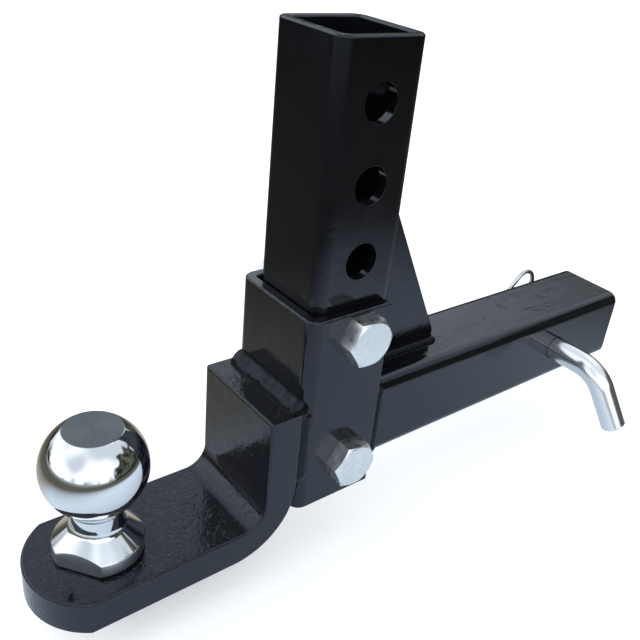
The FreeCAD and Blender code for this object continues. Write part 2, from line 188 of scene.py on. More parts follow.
# %% Shared effect: sprayed paint
WIPED = (0.3, 1.0, 0.3)
PEEL_SHARE = 0.35
PIT_NOISE, PATCH_NOISE, CLOUD_NOISE, FILM_NOISE = (0.50, 0.68), (0.40, 0.58), (0.3, 0.7), (0.40, 0.72)
PATCH_SIZE, CLOUD_SIZE, FILM_SIZE = 30 * MM, 35 * MM, 10 * MM
TOP_FACES = (0.5, 0.9)
SIDE_PITS, CLEAN_PITS = 0.4, 0.25


def object_place(tree):
    return put(tree, "ShaderNodeTexCoord").outputs["Object"]


def upward(tree):
    """How far a face looks up: 1 on a level top and 0 on an upright side."""
    facing = put(tree, "ShaderNodeNewGeometry").outputs["True Normal"]
    return component(tree, facing, "Z")


def noise(tree, place, size, detail=2.0, roughness=0.5):
    """Noise whose blotches are about as large as the given size, in the units of the place."""
    scale = math_node(tree, "DIVIDE", 1.0, size)
    inputs = {"Vector": place, "Scale": scale, "Detail": detail, "Roughness": roughness}
    return put(tree, "ShaderNodeTexNoise", inputs).outputs["Fac"]


paint_group, source, sink = open_group(
    "sprayed_paint", "ShaderNodeTree",
    [("Peel Size", FLOAT, 1.6 * MM), ("Wave Size", FLOAT, 16 * MM), ("Wave Share", FLOAT, 1.2),
     ("Pit Size", FLOAT, 2.6 * MM), ("Pit Share", FLOAT, 0.0), ("Stretch", VECTOR, (1.0, 1.0, 1.0))],
    [("Height", FLOAT), ("Cloud", FLOAT), ("Haze", FLOAT)])
tree = paint_group
place = object_place(tree)
rolled = vector_math(tree, "MULTIPLY", place, source["Stretch"])["Vector"]
peel = times(tree, noise(tree, place, source["Peel Size"]), PEEL_SHARE)
wave = noise(tree, rolled, source["Wave Size"], detail=1.0)
skin = plus(tree, peel, times(tree, wave, source["Wave Share"]))
dents = noise(tree, rolled, source["Pit Size"], detail=3.0)
pits = map_range(tree, dents, PIT_NOISE, (0.0, -1.0), smooth=True)
on_top = map_range(tree, upward(tree), TOP_FACES, (SIDE_PITS, 1.0))
patches = noise(tree, place, PATCH_SIZE)
in_patch = map_range(tree, patches, PATCH_NOISE, (CLEAN_PITS, 1.0), smooth=True)
pit_share = times(tree, source["Pit Share"], times(tree, on_top, in_patch))
tree.links.new(plus(tree, skin, times(tree, pits, pit_share)), sink["Height"])
cloud = noise(tree, place, CLOUD_SIZE, detail=4.0, roughness=0.6)
tree.links.new(map_range(tree, cloud, CLOUD_NOISE), sink["Cloud"])
wiped = vector_math(tree, "MULTIPLY", place, WIPED)["Vector"]
film = noise(tree, wiped, FILM_SIZE, detail=5.0, roughness=0.6)
tree.links.new(map_range(tree, film, FILM_NOISE, smooth=True), sink["Haze"])
print("group", paint_group.name, "with", len(paint_group.nodes), "nodes")

# %% [markdown]
# ## Thin paint and painted highlights on edges
# Wet paint draws back from a sharp edge and dries thinner there, and handling rubs that edge first; the
# lighter colour given to edges is also a painted highlight. When an edge is softened below, its new faces are
# marked with an attribute called edge. This group breaks that mark up with noise, so that only parts of each
# edge look thin and lit.

# %% Shared effect: thin paint and painted highlights on edges
EDGE_NOISE = (0.42, 0.62)

edge_group, source, sink = open_group(
    "thin_and_highlit_edges", "ShaderNodeTree",
    [("Amount", FLOAT, 0.6), ("Grain Size", FLOAT, 5 * MM)], [("Mask", FLOAT)])
tree = edge_group
marked = put(tree, "ShaderNodeAttribute", attribute_name="edge").outputs["Fac"]
rubbed_and_lit = noise(tree, object_place(tree), source["Grain Size"], detail=4.0)
edge_mask = times(tree, marked, map_range(tree, rubbed_and_lit, EDGE_NOISE))
tree.links.new(times(tree, edge_mask, source["Amount"]), sink["Mask"])
print("group", edge_group.name, "with", len(edge_group.nodes), "nodes")

# %% [markdown]
# ## Drawn and plated metal
# Bright metal shows how it was made. Bar that was drawn or rolled keeps fine lines along its length, and zinc
# plating leaves a cloudy bloom of slightly different greys. The lines come from noise that is stretched along
# one direction: a group takes a place, already stretched, and gives fine and broad lines. A second group
# gives the bloom.

# %% Shared effects: drawn lines and zinc bloom
FINE_NOISE, BROAD_NOISE, BLOOM_NOISE = (0.3, 0.7), (0.35, 0.65), (0.32, 0.68)
BROAD_LINES = 6.0

lines_group, source, sink = open_group(
    "drawn_lines", "ShaderNodeTree",
    [("Place", VECTOR, None), ("Line Size", FLOAT, 0.6 * MM)], [("Lines", FLOAT), ("Soft Lines", FLOAT)])
tree = lines_group
fine_lines = noise(tree, source["Place"], source["Line Size"], detail=3.0)
broad_size = times(tree, source["Line Size"], BROAD_LINES)
broad_lines = noise(tree, source["Place"], broad_size)
tree.links.new(map_range(tree, fine_lines, FINE_NOISE), sink["Lines"])
tree.links.new(map_range(tree, broad_lines, BROAD_NOISE), sink["Soft Lines"])

bloom_group, source, sink = open_group(
    "zinc_bloom", "ShaderNodeTree",
    [("Grain Size", FLOAT, 1.1 * MM), ("Cloud Size", FLOAT, 5 * MM)], [("Grain", FLOAT), ("Cloud", FLOAT)])
tree = bloom_group
place = object_place(tree)
grain_scale = math_node(tree, "DIVIDE", 1.0, source["Grain Size"])
cells = put(tree, "ShaderNodeTexVoronoi", {"Vector": place, "Scale": grain_scale}, feature="F1")
grain = put(tree, "ShaderNodeSeparateColor", {"Color": cells.outputs["Color"]}).outputs[0]
tree.links.new(grain, sink["Grain"])
clouds = noise(tree, place, source["Cloud Size"], detail=4.0, roughness=0.6)
tree.links.new(map_range(tree, clouds, BLOOM_NOISE), sink["Cloud"])
print("groups", lines_group.name, "and", bloom_group.name)

# %% [markdown]
# ## Materials
# A material is one Principled shader with groups and mixes in front of it. A Mix node keeps a set of sockets
# for every kind of data, all with the same names, so its colour sockets are called by their number.

# %% Helpers for materials
MIX_FIRST, MIX_SECOND, MIX_RESULT = 6, 7, 2


def shader_group(tree, group, inputs=None):
    return put(tree, "ShaderNodeGroup", inputs, node_tree=group).outputs


def mix_colour(tree, factor, first, second):
    """Blend two colours, each a socket or three plain values."""
    inputs = {"Factor": factor}
    for key, value in ((MIX_FIRST, first), (MIX_SECOND, second)):
        inputs[key] = value if isinstance(value, bpy.types.NodeSocket) else (*value, 1.0)
    return put(tree, "ShaderNodeMix", inputs, data_type="RGBA").outputs[MIX_RESULT]


def open_material(name):
    made = bpy.data.materials.new(name)
    made.use_nodes = True
    return made, made.node_tree, made.node_tree.nodes["Principled BSDF"]


print("material helpers ready")

# %% [markdown]
# ## Black paint, three ways
# Tubes, the rough bar of the platform and the weld beads carry the same paint, on steel of different
# smoothness. One function builds the material and takes what differs: how wavy and pitted the metal is. The
# paint itself stays almost black, and the greys that the eye sees on it are reflections, apart from a painted
# highlight on the edges.

# %% Paint materials
DEEP_BLACK, PALE_BLACK = (0.0030, 0.0031, 0.0038), (0.0054, 0.0056, 0.0070)
THIN_PAINT_AND_HIGHLIGHT, EDGE_LIGHTEN_AMOUNT = (0.050, 0.051, 0.055), 0.5
PAINT_GLINT = (0.79, 0.83, 1.0, 1.0)
PAINT_REFLECTION, BEAD_REFLECTION = 0.54, 0.24
PAINT_RELIEF = 0.4 * MM


def paint_material(name, steel, bump, gloss, reflection=PAINT_REFLECTION):
    made, tree, shader = open_material(name)
    skin = shader_group(tree, paint_group, steel)
    thin_and_lit = shader_group(tree, edge_group, {"Amount": EDGE_LIGHTEN_AMOUNT})
    black = mix_colour(tree, skin["Cloud"], DEEP_BLACK, PALE_BLACK)
    # Edges take a lighter colour: thinner, rubbed paint and a painted highlight.
    colour = mix_colour(tree, thin_and_lit["Mask"], black, THIN_PAINT_AND_HIGHLIGHT)
    roughness = map_range(tree, skin["Haze"], WHOLE, gloss)
    relief = put(tree, "ShaderNodeBump",
                 {"Height": skin["Height"], "Strength": bump, "Distance": PAINT_RELIEF}).outputs[0]
    for label, socket in (("Base Color", colour), ("Roughness", roughness), ("Normal", relief)):
        tree.links.new(socket, shader.inputs[label])
    shader.inputs["Specular Tint"].default_value = PAINT_GLINT
    shader.inputs["Specular IOR Level"].default_value = reflection
    return made


rolled_tube = {"Wave Share": 6.0, "Pit Share": 1.5, "Pit Size": 4.5 * MM, "Stretch": WIPED}
rough_bar = {"Wave Share": 3.5, "Pit Share": 2.4}
rough_weld = {"Wave Share": 1.6, "Pit Share": 0.3}
tube_paint = paint_material("tube_paint", rolled_tube, bump=0.18, gloss=(0.06, 0.20))
bar_paint = paint_material("bar_paint", rough_bar, bump=0.24, gloss=(0.08, 0.22))
weld_paint = paint_material("weld_paint", rough_weld, bump=0.18, gloss=(0.08, 0.22),
                            reflection=BEAD_REFLECTION)
print("paints", tube_paint.name, bar_paint.name, weld_paint.name)

# %% [markdown]
# ## Bright metal
# Chrome, zinc and wire differ in tone, roughness and relief, and each of these changes over the surface. One
# function builds them all and takes three small functions that say how.

# %% Metal helper
METAL_RELIEF = 0.2 * MM


def metal(name, colour_pair, factor_of, roughness_of, height_of, bump):
    """Metal between two tones; each argument that ends in of takes the tree and returns a socket."""
    made, tree, shader = open_material(name)
    shader.inputs["Metallic"].default_value = 1.0
    tree.links.new(mix_colour(tree, factor_of(tree), *colour_pair), shader.inputs["Base Color"])
    tree.links.new(roughness_of(tree), shader.inputs["Roughness"])
    inputs = {"Height": height_of(tree), "Strength": bump, "Distance": METAL_RELIEF}
    tree.links.new(put(tree, "ShaderNodeBump", inputs).outputs[0], shader.inputs["Normal"])
    return made


print("metal helper ready")

# %% [markdown]
# ## Chrome
# The ball is polished and chromed, with a flat top that was only faced on the lathe: its rings come from the
# distance to the ball's axis. The rim of its foot, with the milled flats, is chromed without much polish.
# Masks painted by hand would hold for one mesh only, so the shader finds the flat top by its height and the
# rim as the upright faces of the foot.

# %% Chrome for the ball
BALL_LOW, BALL_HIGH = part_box("tow_ball")
BALL_AXIS = Vector(((BALL_LOW.x + BALL_HIGH.x) / 2, 0.0, 0.0))
LEG_LOW, LEG_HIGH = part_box("ball_platform")
BAR_THICKNESS, FOOT_HEIGHT = 19.0 * MM, 15.6 * MM
PLATFORM_TOP_Z = LEG_LOW.z + BAR_THICKNESS
FOOT_TOP_Z = PLATFORM_TOP_Z + FOOT_HEIGHT
TOP_EDGE = (BALL_HIGH.z - 0.25 * MM, BALL_HIGH.z - 0.1 * MM)
FOOT_EDGE = (FOOT_TOP_Z - 0.2 * MM, FOOT_TOP_Z)
UPRIGHT_FACES = (0.2, 0.5)
BRIGHT_CHROME, FACED_CHROME = (0.78, 0.79, 0.80), (0.130, 0.142, 0.152)
CHROME_CLOUD, CHROME_FILM, CHROME_GLOSS = 14 * MM, (0.2, 1.0), (0.025, 0.07)
FACED_ROUGHNESS, MILLED_ROUGHNESS = 0.22, 0.27
RING_PITCH = 0.7 * MM


def flat_top_mask(tree):
    return map_range(tree, component(tree, object_place(tree), "Z"), TOP_EDGE)


def rim_mask(tree):
    """Upright faces of the foot: its rim and the milled flats."""
    in_foot = map_range(tree, component(tree, object_place(tree), "Z"), FOOT_EDGE, FALLING)
    return times(tree, in_foot, map_range(tree, upward(tree), UPRIGHT_FACES, FALLING))


def ball_roughness(tree):
    film = shader_group(tree, bloom_group, {"Cloud Size": CHROME_CLOUD})["Cloud"]
    polished = map_range(tree, film, CHROME_FILM, CHROME_GLOSS)
    faced = times(tree, flat_top_mask(tree), FACED_ROUGHNESS)
    milled = times(tree, rim_mask(tree), MILLED_ROUGHNESS)
    return plus(tree, polished, math_node(tree, "MAXIMUM", faced, milled))


def ball_rings(tree):
    """Fine turning rings round the ball's axis, on the flat top only."""
    place = vector_math(tree, "SUBTRACT", object_place(tree), tuple(BALL_AXIS))["Vector"]
    level = vector_math(tree, "MULTIPLY", place, (1.0, 1.0, 0.0))["Vector"]
    radius = vector_math(tree, "LENGTH", level)["Value"]
    rings = math_node(tree, "SINE", times(tree, radius, math.tau / RING_PITCH))
    return times(tree, rings, flat_top_mask(tree))


ball_chrome = metal("ball_chrome", (BRIGHT_CHROME, FACED_CHROME), flat_top_mask, ball_roughness,
                    ball_rings, bump=0.12)
print("metal", ball_chrome.name, "with", len(ball_chrome.node_tree.nodes), "nodes")

# %% [markdown]
# ## Zinc and spring wire
# Bolts, nuts and the pin are zinc plated, bright but cloudy, and the clip is bare wire. Lines on the pin and
# the clip have to follow the bend, and Object coordinates would run straight past it. Both pieces therefore
# carry an attribute called grain, written when they are swept.

# %% Zinc and drawn bar
ZINC_TONES, ZINC_GLOSS = ((0.76, 0.76, 0.76), (0.98, 0.97, 0.96)), (0.24, 0.42)
PIN_TONES, PIN_GLOSS, PIN_STRETCH = ((0.80, 0.81, 0.81), (0.97, 0.97, 0.97)), (0.15, 0.27), 25.0
WIRE_TONES, WIRE_GLOSS, WIRE_STRETCH = ((0.50, 0.51, 0.52), (0.74, 0.75, 0.76)), (0.18, 0.34), 18.0
GRAIN_SHARE, CLOUD_SHARE = 0.35, 0.65
BAR_LINE = 0.9 * MM


def bloom_tone(tree):
    bloom = shader_group(tree, bloom_group)
    return plus(tree, times(tree, bloom["Grain"], GRAIN_SHARE), times(tree, bloom["Cloud"], CLOUD_SHARE))


def bloom_roughness(tree):
    return map_range(tree, shader_group(tree, bloom_group)["Cloud"], WHOLE, ZINC_GLOSS)


def bloom_height(tree):
    return shader_group(tree, bloom_group)["Grain"]


def bar_lines(tree, stretch):
    """Lines that follow a swept bar; its grain attribute holds the place along and round the section."""
    grain = put(tree, "ShaderNodeAttribute", attribute_name="grain").outputs["Vector"]
    stretched = vector_math(tree, "MULTIPLY", grain, (1.0 / stretch, 1.0, 1.0))["Vector"]
    return shader_group(tree, lines_group, {"Place": stretched, "Line Size": BAR_LINE})


def drawn_metal(name, colour_pair, gloss, stretch):
    return metal(name, colour_pair, lambda tree: bar_lines(tree, stretch)["Soft Lines"],
                 lambda tree: map_range(tree, bar_lines(tree, stretch)["Lines"], WHOLE, gloss),
                 lambda tree: bar_lines(tree, stretch)["Lines"], bump=0.08)


zinc_plate = metal("zinc_plate", ZINC_TONES, bloom_tone, bloom_roughness, bloom_height, bump=0.10)
pin_zinc = drawn_metal("pin_zinc", PIN_TONES, PIN_GLOSS, PIN_STRETCH)
spring_wire = drawn_metal("spring_wire", WIRE_TONES, WIRE_GLOSS, WIRE_STRETCH)
print("metals", zinc_plate.name, pin_zinc.name, spring_wire.name)

# %% [markdown]
# ## Finished pieces
# Each finished mesh takes the place of one node of the frame and rides on that node's body. Shading is smooth
# with crisp edges. On steel with flat faces, weighted normals keep the flats flat right up to their rounded
# edges; a plain average would make them look swollen.

# %% Helpers for finished pieces
def show(name, mesh, material, body, node):
    """Put a finished mesh in the scene in place of a node, riding on that node's body."""
    mesh.materials.clear()
    mesh.materials.append(material)
    piece = bpy.data.objects.new(name, mesh)
    scene.collection.objects.link(piece)
    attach(piece, body)
    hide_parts(node)
    return piece


def plain_mesh(piece):
    """The object's evaluated shape as a mesh of its own."""
    graph = bpy.context.evaluated_depsgraph_get()
    return bpy.data.meshes.new_from_object(piece.evaluated_get(graph))


def shade(mesh, crisp_deg):
    """Smooth the shading, except at edges sharper than the angle."""
    mesh.shade_smooth()
    mesh.set_sharp_from_angle(angle=math.radians(crisp_deg))


def weighted(name, mesh):
    """Shade a mesh with normals that follow the larger faces."""
    shade(mesh, crisp_deg=55)
    stand = bpy.data.objects.new(name + "_stand", mesh)
    scene.collection.objects.link(stand)
    stand.modifiers.new("normals", "WEIGHTED_NORMAL").keep_sharp = True
    finished = plain_mesh(stand)
    bpy.data.objects.remove(stand)
    finished.name = name
    return finished


# %% [markdown]
# ## Edges that catch the light
# Sawn tube, flame-cut plate and forged hex heads all lose their last sharp corner, and that narrow round is
# where the light shows on a black part. The frame's solids have the right faces, so each is copied, its loose
# triangles are merged, flat areas are joined, and every sharp edge gets a small round.

# %% Softened copies of the steel and the hex hardware
FLAT_ANGLE, SHARP_ANGLE = math.radians(0.4), math.radians(24)
MERGE_DISTANCE = 0.002 * MM
ROUND_SEGMENTS, ROUND_PROFILE = 3, 0.5
HEX_PIECES = ("upper_bolt", "lower_bolt", "upper_nut", "lower_nut", "ball_nut")
WASHERS = ("upper_lock_washer", "lower_lock_washer", "ball_lock_washer")
SOFTENED = (
    (("shank_tube", "mast_tube", "sleeve_channel"), 0.30 * MM, tube_paint, "black_paint"),
    (("gusset_plate",), 0.8 * MM, tube_paint, "black_paint"),
    (("ball_platform",), 0.35 * MM, bar_paint, "black_paint"),
    (HEX_PIECES, 0.25 * MM, zinc_plate, "zinc_plate"),
    (WASHERS, 0.3 * MM, zinc_plate, "zinc_plate"),
)


def soften(work, width):
    """Round every sharp edge of a bmesh and mark the new faces."""
    mark = work.faces.layers.float.new("edge")
    sharp = [edge for edge in work.edges if edge.is_manifold and edge.calc_face_angle() > SHARP_ANGLE]
    rounded = bmesh.ops.bevel(work, geom=sharp, offset=width, offset_type="OFFSET", segments=ROUND_SEGMENTS,
                              profile=ROUND_PROFILE, affect="EDGES", clamp_overlap=True)
    for face in rounded["faces"]:
        face[mark] = 1.0


def softened_copy(node, width):
    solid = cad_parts[node].data
    mesh = bpy.data.meshes.new(node)
    mesh.from_pydata([v.co for v in solid.vertices], [], [p.vertices[:] for p in solid.polygons])
    work = bmesh.new()
    work.from_mesh(mesh)
    bmesh.ops.remove_doubles(work, verts=work.verts, dist=MERGE_DISTANCE)
    bmesh.ops.dissolve_limit(work, angle_limit=FLAT_ANGLE, verts=work.verts, edges=work.edges)
    soften(work, width)
    work.to_mesh(mesh)
    work.free()
    return weighted(node, mesh)


for nodes, width, material, slot in SOFTENED:
    for node in nodes:
        piece = show(node + "_piece", softened_copy(node, width), material, "mount", node)
        print(node, "softened by", round(width / MM, 2), "mm,", len(piece.data.polygons), "faces")

# %% [markdown]
# ## Trees that sweep a section
# Weld beads, bars and the thread are all one section swept along a path. Their trees share three steps: the
# path is resampled in even steps and measured, a value is captured on its points so that it outlives the
# sweep, and the tree ends in real geometry with its material.

# %% Helpers for sweeping trees
def stepped_path(tree, curve, step):
    """The path in even steps, the length along it, and the length to its nearer end."""
    path = put(tree, "GeometryNodeResampleCurve", {"Curve": curve, "Length": step}, mode="LENGTH")
    along = put(tree, "GeometryNodeSplineParameter").outputs["Length"]
    total = put(tree, "GeometryNodeSplineLength").outputs["Length"]
    to_end = math_node(tree, "MINIMUM", along, minus(tree, total, along))
    return path.outputs[0], along, to_end


def capture(tree, geometry, kind, label, value):
    """Keep a value on the points; returns the geometry and the kept value."""
    kept = put(tree, "GeometryNodeCaptureAttribute", {"Geometry": geometry}, domain="POINT")
    kept.capture_items.new(kind, label)
    tree.links.new(value, kept.inputs[label])
    return kept.outputs["Geometry"], kept.outputs[label]


def sweep(tree, path, section, scale):
    inputs = {"Curve": path, "Profile Curve": section, "Scale": scale, "Fill Caps": True}
    return put(tree, "GeometryNodeCurveToMesh", inputs).outputs[0]


def end_tree(tree, geometry, finish, result):
    real = put(tree, "GeometryNodeRealizeInstances", {"Geometry": geometry}).outputs[0]
    coated = put(tree, "GeometryNodeSetMaterial", {"Geometry": real, "Material": finish}).outputs[0]
    tree.links.new(coated, result)
    print("tree", tree.name, "with", len(tree.nodes), "nodes")


print("sweeping helpers ready")

# %% [markdown]
# ## Weld beads
# A weld bead is laid as a row of overlapping puddles, each frozen as a bowed ripple. Placing hundreds of
# coins would work, but their seams would never melt together. Here a Geometry Nodes tree sweeps a round
# section along the joint instead. It rounds the bead's ends, which stay a little blunt.

# %% Weld bead tree: the sweep
STEPS_PER_RIPPLE = 8
BEAD_SIDES = 28
END_BLUNT = 0.02

weld_tree, source, sink = open_group(
    "weld_bead", "GeometryNodeTree",
    [("Path", GEOMETRY, None), ("Radius", FLOAT, 3 * MM), ("Pitch", FLOAT, 2.4 * MM),
     ("Ripple", FLOAT, 0.35 * MM), ("Bow", FLOAT, 0.5), ("Crown", VECTOR, (0.0, 0.0, 1.0)),
     ("Lump", FLOAT, 0.3 * MM), ("Lump Size", FLOAT, 7 * MM), ("End Length", FLOAT, 3 * MM),
     ("Round Ends", FLOAT, 1.0), ("Seed", FLOAT, 1.0), ("Finish", MATERIAL, None)],
    [("Bead", GEOMETRY)])
tree = weld_tree
step = math_node(tree, "DIVIDE", source["Pitch"], STEPS_PER_RIPPLE)
path, length, to_end = stepped_path(tree, source["Path"], step)
inset = math_node(tree, "DIVIDE", to_end, source["End Length"])
short = minus(tree, 1.0, math_node(tree, "MINIMUM", inset, 1.0))
drop = times(tree, math_node(tree, "POWER", short, 2.0), source["Round Ends"])
swell = math_node(tree, "SQRT", minus(tree, 1.0 + END_BLUNT, drop))
path, along = capture(tree, path, "FLOAT", "Along", length)
section = put(tree, "GeometryNodeCurvePrimitiveCircle",
              {"Resolution": BEAD_SIDES, "Radius": source["Radius"]}).outputs["Curve"]
swept = sweep(tree, path, section, swell)
print("tree", weld_tree.name, "has its sweep,", len(weld_tree.nodes), "nodes")

# %% [markdown]
# The second half of the tree moves the bead's surface in and out. It raises a ripple at every pitch, bows the
# ripples back from the crown, lets them sway, and lets noise make the bead lumpy.

# %% Weld bead tree: ripples and lumps
SWAY_RATE, SWAY_TURNS = 0.35, 1.6
MID_NOISE, LUMP_SPAN = 0.5, 2.0


def bead_noise(scale):
    inputs = {"W": source["Seed"], "Scale": scale}
    return put(weld_tree, "ShaderNodeTexNoise", inputs, noise_dimensions="4D").outputs["Fac"]


tree = weld_tree
outward = put(tree, "GeometryNodeInputNormal").outputs[0]
facing = vector_math(tree, "DOT_PRODUCT", outward, source["Crown"])["Value"]
lag = times(tree, minus(tree, 1.0, facing), source["Bow"])
bowed = plus(tree, along, times(tree, lag, source["Radius"]))
sway = bead_noise(math_node(tree, "DIVIDE", SWAY_RATE, source["Pitch"]))
pitches = math_node(tree, "DIVIDE", bowed, source["Pitch"])
turns = plus(tree, pitches, times(tree, sway, SWAY_TURNS))
wave = math_node(tree, "ABSOLUTE", math_node(tree, "SINE", times(tree, turns, math.pi)))
ripple = times(tree, minus(tree, wave, 1.0), source["Ripple"])
lumps = bead_noise(math_node(tree, "DIVIDE", 1.0, source["Lump Size"]))
lump = times(tree, minus(tree, lumps, MID_NOISE), source["Lump"])
rise = plus(tree, ripple, times(tree, lump, LUMP_SPAN))
shift = put(tree, "ShaderNodeVectorMath", {"Vector": outward, "Scale": rise}, operation="SCALE")
moved = put(tree, "GeometryNodeSetPosition", {"Geometry": swept, "Offset": shift.outputs[0]})
smooth = put(tree, "GeometryNodeSetShadeSmooth", {"Geometry": moved.outputs[0]})
end_tree(tree, smooth.outputs[0], source["Finish"], sink["Bead"])

# %% [markdown]
# The tree works on a curve object. The next helper makes one from a few points, sets the modifier's inputs by
# their identifiers, and takes the result as a plain mesh before the curve is removed.

# %% Run a tree on a path
Y, Z = Vector((0, 1, 0)), Vector((0, 0, 1))


def path_object(name, points, closed):
    curve = bpy.data.curves.new(name, "CURVE")
    curve.dimensions = "3D"
    line = curve.splines.new("POLY")
    line.points.add(len(points) - 1)
    for point, place in zip(line.points, points):
        point.co = (*place, 1.0)
    line.use_cyclic_u = closed
    made = bpy.data.objects.new(name, curve)
    scene.collection.objects.link(made)
    return made


def run_tree(name, tree, points, values, closed=False):
    """Sweep a tree along points and return the mesh."""
    carrier = path_object(name + "_path", points, closed)
    modifier = carrier.modifiers.new("sweep", "NODES")
    modifier.node_group = tree
    identifiers = {item.name: item.identifier for item in tree.interface.items_tree if item.in_out == "INPUT"}
    for label, value in values.items():
        modifier[identifiers[label]] = value
    mesh = plain_mesh(carrier)
    bpy.data.objects.remove(carrier)
    mesh.name = name
    return mesh


def arc(centre, first, second, radius, start, end, count):
    """Points of an arc in the plane of two unit vectors, angles in degrees."""
    angles = [math.radians(start + (end - start) * i / count) for i in range(count + 1)]
    return [centre + first * (radius * math.cos(a)) + second * (radius * math.sin(a)) for a in angles]


print("paths are swept with", weld_tree.name)

# %% [markdown]
# Where each bead runs can be read from the frame: the corner of two pieces that meet. The shank's end is
# welded all round to the mast, and the gusset has a bead round its foot and one up its edge. Both stop short
# of the corner, where the gusset is snipped off to clear the bead round the shank.

# %% Beads on the shank and the gusset
SHANK_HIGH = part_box("shank_tube")[1]
MAST_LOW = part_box("mast_tube")[0]
GUSSET_LOW, GUSSET_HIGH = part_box("gusset_plate")
TUBE_CORNER, CORNER_STEPS = 7.0 * MM, 8
GUSSET_SNIPE, SNIPE_CLEARANCE = 9.0 * MM, 3 * MM
BEAD_RADIUS, RING_SINK = 3.1 * MM, 1.2 * MM
BACKWARD = (-1.0, 0.0, 0.0)


def lay_bead(node, points, values, closed=False):
    mesh = run_tree(node + "_bead", weld_tree, points, {"Finish": weld_paint, **values}, closed)
    show(node + "_piece", mesh, weld_paint, "mount", node)
    print(node, len(mesh.polygons), "faces")


def rounded_square(x, half, radius):
    points = []
    flat = half - radius
    for turn, (side, up) in enumerate(((1, 1), (-1, 1), (-1, -1), (1, -1))):
        corner = Vector((x, side * flat, up * flat))
        points += arc(corner, Y, Z, radius, 90 * turn, 90 * turn + 90, CORNER_STEPS)
    return points


def gusset_loop(near, far):
    """Path along one side of the gusset, round its end and back along the other side."""
    side = Y * GUSSET_HIGH.y
    return [near + side, far + side, far - side, near - side]


ring = rounded_square(MAST_LOW.x - RING_SINK, SHANK_HIGH.z - RING_SINK, TUBE_CORNER - RING_SINK)
lay_bead("shank_weld", ring, {
    "Radius": BEAD_RADIUS, "Crown": BACKWARD, "Round Ends": 0.0, "Seed": 2.0, "Lump": 0.3 * MM}, closed=True)

snipe = GUSSET_SNIPE + SNIPE_CLEARANCE
foot = gusset_loop(Vector((MAST_LOW.x - snipe, 0.0, SHANK_HIGH.z)), Vector((GUSSET_LOW.x, 0.0, SHANK_HIGH.z)))
lay_bead("gusset_foot_weld", foot, {"Radius": BEAD_RADIUS, "Seed": 3.0})

edge = gusset_loop(Vector((MAST_LOW.x, 0.0, SHANK_HIGH.z + snipe)), Vector((MAST_LOW.x, 0.0, GUSSET_HIGH.z)))
lay_bead("gusset_mast_weld", edge, {"Radius": BEAD_RADIUS, "Crown": BACKWARD, "Seed": 4.0})

# %% [markdown]
# The platform's leg is welded to the sleeve along its top in one heavy, smooth pass, and down both grooves
# beside it. The beads in the grooves are mostly sunk. Their ends taper, so they run a little past the ends
# of the solid beads.

# %% Beads on the platform
SLEEVE_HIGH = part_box("sleeve_channel")[1]
TOP_RADIUS, TOP_SINK, TOP_INSET = 8.4 * MM, 1.8 * MM, 0.4 * MM
GROOVE_RADIUS, GROOVE_CROWN, GROOVE_SINK = 7.0 * MM, 0.25 * MM, 3.5 * MM
GROOVE_PAST_LOW, GROOVE_PAST_HIGH = 3 * MM, 5 * MM

top_place = Vector((SLEEVE_HIGH.x - TOP_SINK, 0.0, LEG_HIGH.z - TOP_SINK))
top_reach = Y * (LEG_HIGH.y - TOP_INSET)
lay_bead("platform_top_weld", [top_place - top_reach, top_place + top_reach], {
    "Radius": TOP_RADIUS, "Pitch": 5.5 * MM, "Ripple": 0.04 * MM, "Bow": 0.8, "Crown": (0.7, 0.0, 0.7),
    "Lump": 1.4 * MM, "Lump Size": 14 * MM, "End Length": 4 * MM, "Seed": 5.0})

for side, name in ((-1, "platform_left_weld"), (1, "platform_right_weld")):
    low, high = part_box(name)
    groove_y = side * (SLEEVE_HIGH.y + GROOVE_CROWN - GROOVE_RADIUS)
    middle = Vector((SLEEVE_HIGH.x - GROOVE_SINK, groove_y, 0.0))
    lay_bead(name, [middle + Z * (low.z - GROOVE_PAST_LOW), middle + Z * (high.z + GROOVE_PAST_HIGH)], {
        "Radius": GROOVE_RADIUS, "Pitch": 3.4 * MM, "Ripple": 0.07 * MM, "Crown": (0.0, float(side), 0.0),
        "Lump": 0.30 * MM, "Lump Size": 9 * MM, "End Length": 9 * MM, "Seed": 6.0 + side})

# %% [markdown]
# ## The ball
# A hitch ball is turned from one forging: ball, neck and a flared foot on one axis. Mirror chrome shows every
# ripple of a mesh, so the solid's triangles won't do. The profile is drawn again as a few radii and heights
# above the platform, from the flat top down to the stem's tip, with round stretches as arcs.

# %% Draw the ball's profile
ARC_STEPS, FILLET_STEPS = 64, 12
FLAT_RADIUS = 13.5 * MM
COLLAR_RADIUS, COLLAR_HEIGHT = 13.6 * MM, 2.0 * MM
NECK_RADIUS = 12.4 * MM
FOOT_RADIUS, FOOT_FILLET = 14.2 * MM, 5.5 * MM
BASE_RADIUS, BASE_RIM, BASE_CHAMFER = 21.75 * MM, 8.6 * MM, 1.8 * MM
STEM_RADIUS, THREAD_DEPTH, STEM_CHAMFER = 9.5 * MM, 0.9 * MM, 1.2 * MM
SHOULDER_HIGH, SHOULDER_LOW = 1.0 * MM, 0.5 * MM


def profile_arc(across, height, radius, start, end, count):
    angles = [start + (end - start) * i / count for i in range(count + 1)]
    return [(across + radius * math.cos(a), height + radius * math.sin(a)) for a in angles]


ball_radius = (BALL_HIGH.x - BALL_LOW.x) / 2
top = BALL_HIGH.z - PLATFORM_TOP_Z
centre = top - math.sqrt(ball_radius ** 2 - FLAT_RADIUS ** 2)
tip = BALL_LOW.z - PLATFORM_TOP_Z
nut_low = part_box("ball_nut")[0].z - PLATFORM_TOP_Z
root = STEM_RADIUS - THREAD_DEPTH
arc_start = math.atan2(top - centre, FLAT_RADIUS)
arc_end = -math.acos(COLLAR_RADIUS / ball_radius)
cone_turn = math.atan2(BASE_RADIUS - FOOT_RADIUS, FOOT_HEIGHT - BASE_RIM)
fillet_top = FOOT_HEIGHT + FOOT_FILLET * math.sin(cone_turn)

